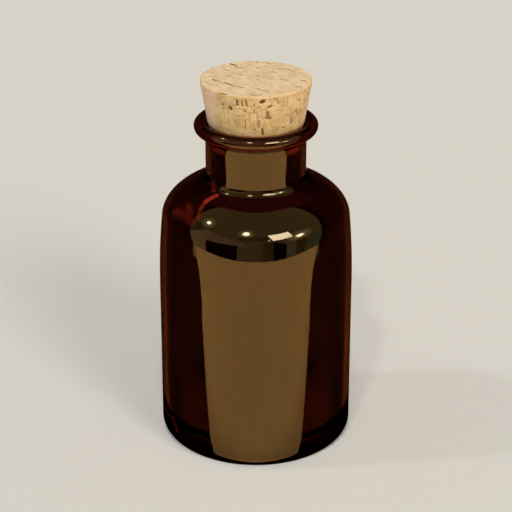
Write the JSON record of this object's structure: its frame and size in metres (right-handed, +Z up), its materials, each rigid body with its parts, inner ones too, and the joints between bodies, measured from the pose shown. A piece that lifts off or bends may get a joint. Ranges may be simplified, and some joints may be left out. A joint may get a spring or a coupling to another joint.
{
  "type": "corked bottle",
  "caption": "Empty amber glass wide-mouth bottle with a bead lip, domed shoulder and a tapered natural cork that lifts out.",
  "frame": {"origin": "centre of the base, on the surface the bottle stands on", "axes": "+Z up along the bottle's axis of revolution, through the mouth and the cork; X and Y are alike"},
  "size_m": [0.051, 0.051, 0.1003],
  "materials": {
    "amber_glass": "clear dark amber glass, fire polished, glossy",
    "natural_cork": "bare natural cork, matt, with lenticels and pores"
  },
  "bodies": {
    "bottle": {"glass_bottle": "amber_glass"},
    "stopper": {"cork_stopper": "natural_cork"}
  },
  "joints": [
    {"name": "cork_pull", "type": "slide", "parent": "bottle", "child": "stopper", "axis": [0, 0, 1], "range_m": [0, 0.04]}
  ]
}
